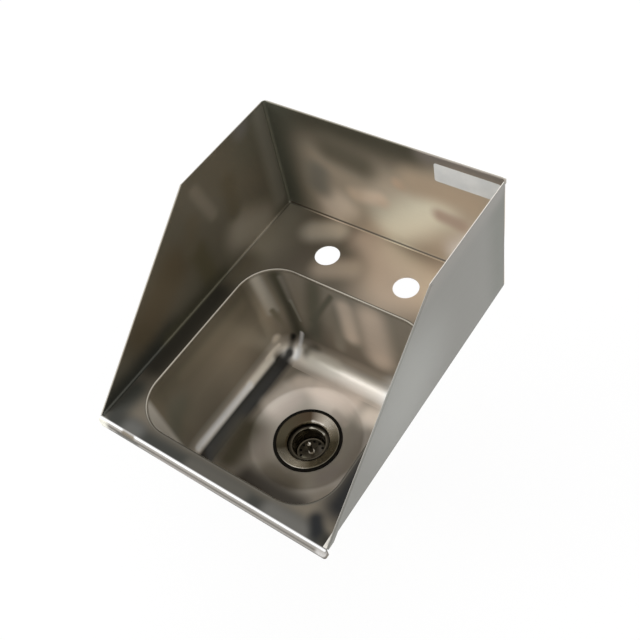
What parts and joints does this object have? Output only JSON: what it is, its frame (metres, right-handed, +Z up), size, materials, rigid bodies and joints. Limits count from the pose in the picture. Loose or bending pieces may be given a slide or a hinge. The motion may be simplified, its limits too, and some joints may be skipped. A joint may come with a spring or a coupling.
{
  "type": "drop-in sink",
  "caption": "Drop-in hand sink with a welded square bowl, a rolled front edge, high back and side splashes, and a basket strainer with its tailpiece.",
  "frame": {"origin": "on the bowl's vertical axis, at the counter's surface, which the deck's underside lies on", "axes": "+Z up, +Y towards the back splash, +X towards the right splash as seen from the front"},
  "size_m": [0.2828, 0.3421, 0.4328],
  "materials": {
    "deck": "satin, brushed lengthways",
    "bowl": "satin, brushed",
    "back_splash": "satin, brushed lengthways",
    "left_splash": "satin, brushed lengthways",
    "right_splash": "satin, brushed lengthways",
    "strainer_body": "turned and brushed round the axis",
    "outlet_cross": "satin",
    "flange_gasket": "matt black",
    "bowl_gasket": "matt black",
    "friction_ring": "pressed fibre",
    "locknut": "die cast, dull grey",
    "tailpiece_washer": "smooth, off-white",
    "tailpiece": "plated",
    "coupling_nut": "plated",
    "basket_cup": "satin",
    "basket_post": "turned",
    "basket_knob": "turned and polished",
    "post_washer": "pressed",
    "post_clip": "pressed",
    "stopper": "matt black",
    "stopper_plate": "pressed"
  },
  "bodies": {
    "sink": {"deck": "deck", "bowl": "bowl", "back_splash": "back_splash", "left_splash": "left_splash", "right_splash": "right_splash", "strainer_body": "strainer_body", "outlet_cross": "outlet_cross", "flange_gasket": "flange_gasket", "bowl_gasket": "bowl_gasket", "friction_ring": "friction_ring", "locknut": "locknut", "tailpiece_washer": "tailpiece_washer", "tailpiece": "tailpiece", "coupling_nut": "coupling_nut"},
    "drain_stopper": {"stopper": "stopper", "stopper_plate": "stopper_plate"},
    "drain_basket": {"basket_cup": "basket_cup", "basket_post": "basket_post", "basket_knob": "basket_knob", "post_washer": "post_washer", "post_clip": "post_clip"}
  },
  "joints": [
    {"name": "stopper_lift", "type": "slide", "parent": "sink", "child": "drain_stopper", "axis": [0, 0, 1], "range_m": [0, 0.06]},
    {"name": "basket_turn", "type": "hinge", "parent": "drain_stopper", "child": "drain_basket", "pos_m": [0, 0, -0.1613], "axis": [0, 0, 1], "continuous": true}
  ]
}
